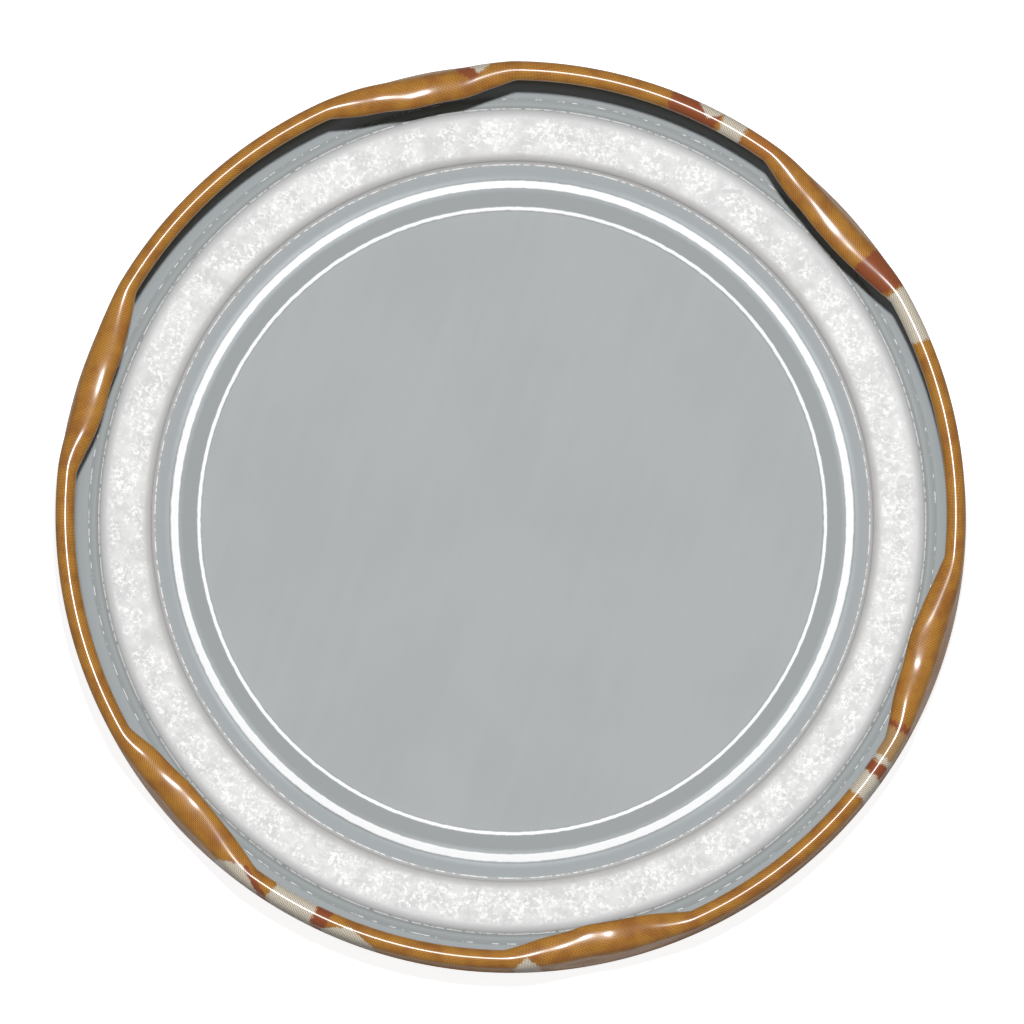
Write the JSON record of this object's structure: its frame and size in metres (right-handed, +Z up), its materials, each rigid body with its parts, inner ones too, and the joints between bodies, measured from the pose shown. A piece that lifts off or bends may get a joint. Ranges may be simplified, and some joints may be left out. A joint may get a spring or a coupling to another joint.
{
  "type": "twist-off jar lid",
  "caption": "Open-side-up twist-off jar lid pressed from thin printed steel, with lugs, a rolled rim and a flowed-in sealing ring",
  "frame": {"origin": "centre of the flat ring that the lid rests on when it lies open side up, in the plane of that ring's outer face", "axes": "+Z up out of the lid's open mouth, along its axis; +X through the middle of one lug; +Y completes the right hand and runs midway between two lugs"},
  "size_m": [0.0852, 0.0852, 0.01],
  "materials": {
    "printed_sheet": "thin steel sheet: glossy golden ochre halftone print with cream and red-brown shapes outside and on the curl, satin grey lacquer inside",
    "sealing_ring": "milky white glossy plastisol with an orange-peel surface"
  },
  "bodies": {
    "root": {"shell": "printed_sheet", "gasket": "sealing_ring"}
  },
  "joints": []
}
